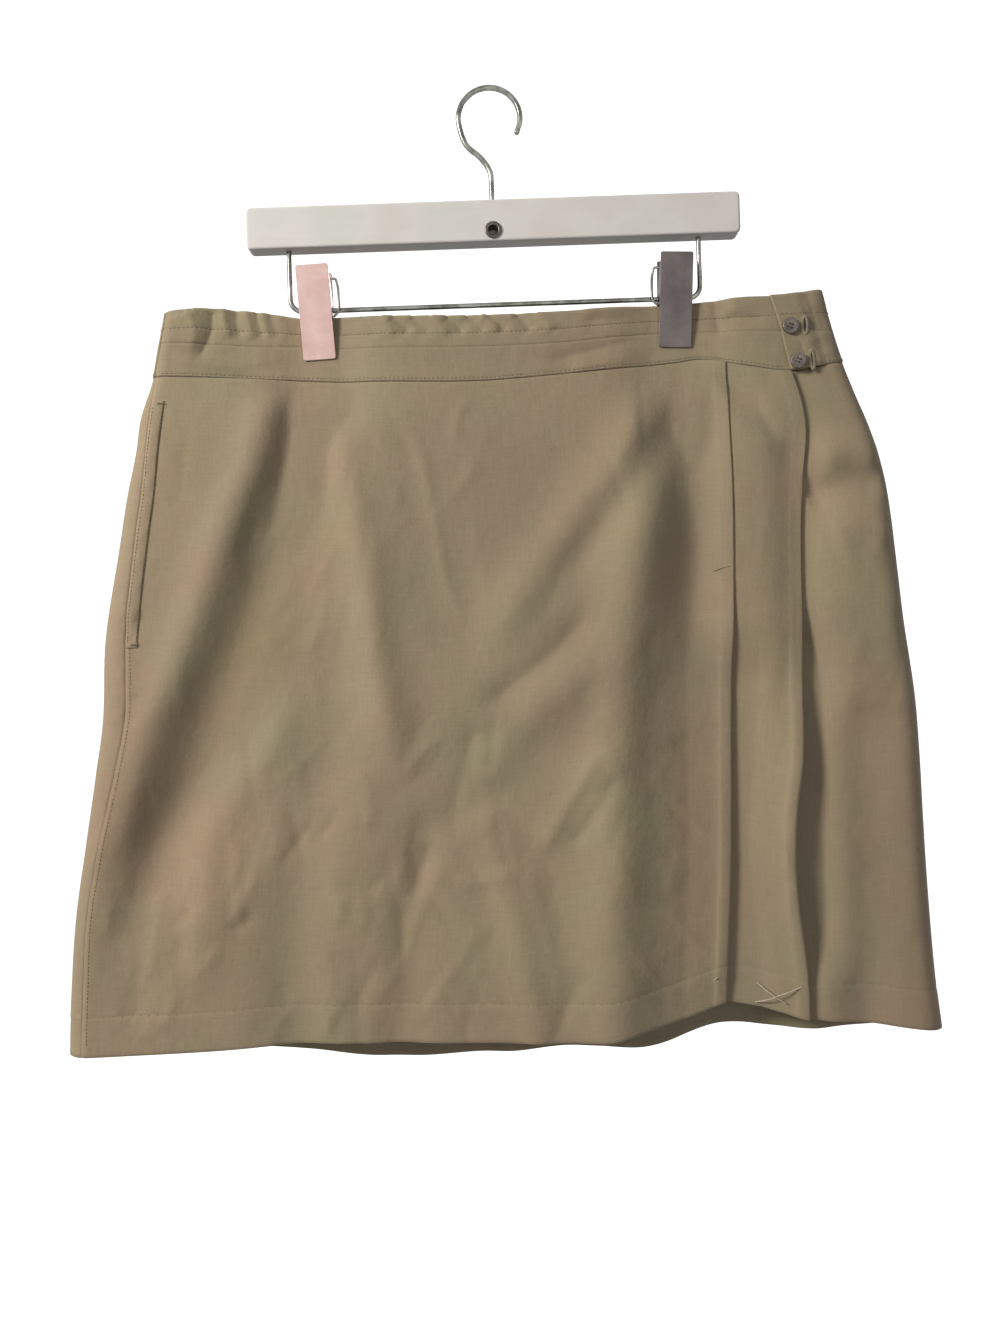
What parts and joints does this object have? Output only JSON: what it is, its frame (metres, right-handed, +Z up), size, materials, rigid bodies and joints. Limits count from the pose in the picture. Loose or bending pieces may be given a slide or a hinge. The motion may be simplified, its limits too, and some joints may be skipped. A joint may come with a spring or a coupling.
{
  "type": "pleated skort on a clip hanger",
  "caption": "Wrap-front khaki twill skort with knife pleats and a gathered waistband, hung from a flat wooden clip hanger.",
  "frame": {"origin": "inside top of the hook, where the hanger hangs from a rail", "axes": "+Z up, +X to the right of someone who faces the skort's front, front faces -Y"},
  "size_m": [0.6197, 0.048, 0.6961],
  "materials": {
    "twill": "smooth khaki cotton twill, matt",
    "button_horn": "dark mottled horn, satin",
    "bar_paint": "off-white paint, satin",
    "eyelet_bronze": "dark bronze, satin",
    "wire_steel": "grey steel wire",
    "clip_light": "pale rose satin metal",
    "clip_dark": "dark taupe satin metal"
  },
  "bodies": {
    "root": {"front_panel": "twill", "side_panel": "twill", "back_panel": "twill", "waistband_top_front_left": "twill", "waistband_top_front_middle": "twill", "waistband_top_front_right": "twill", "waistband_top_back_left": "twill", "waistband_top_back_middle": "twill", "waistband_top_back_right": "twill", "waistband_lower_front_left": "twill", "waistband_lower_front_middle": "twill", "waistband_lower_front_right": "twill", "waistband_lower_back_left": "twill", "waistband_lower_back_middle": "twill", "waistband_lower_back_right": "twill", "waistband_top_tab": "twill", "waistband_lower_tab": "twill", "pocket_edge": "twill", "shorts_front": "twill", "shorts_back": "twill", "button_upper": "button_horn", "button_lower": "button_horn", "hanger_bar": "bar_paint", "hanger_eyelet": "eyelet_bronze", "hanger_hook": "wire_steel", "hanger_rail": "wire_steel", "clip_left_front": "clip_light", "clip_left_back": "clip_light", "clip_left_spring": "wire_steel", "clip_left_loop": "wire_steel", "clip_right_front": "clip_dark", "clip_right_back": "clip_dark", "clip_right_spring": "wire_steel", "clip_right_loop": "wire_steel"}
  },
  "joints": []
}
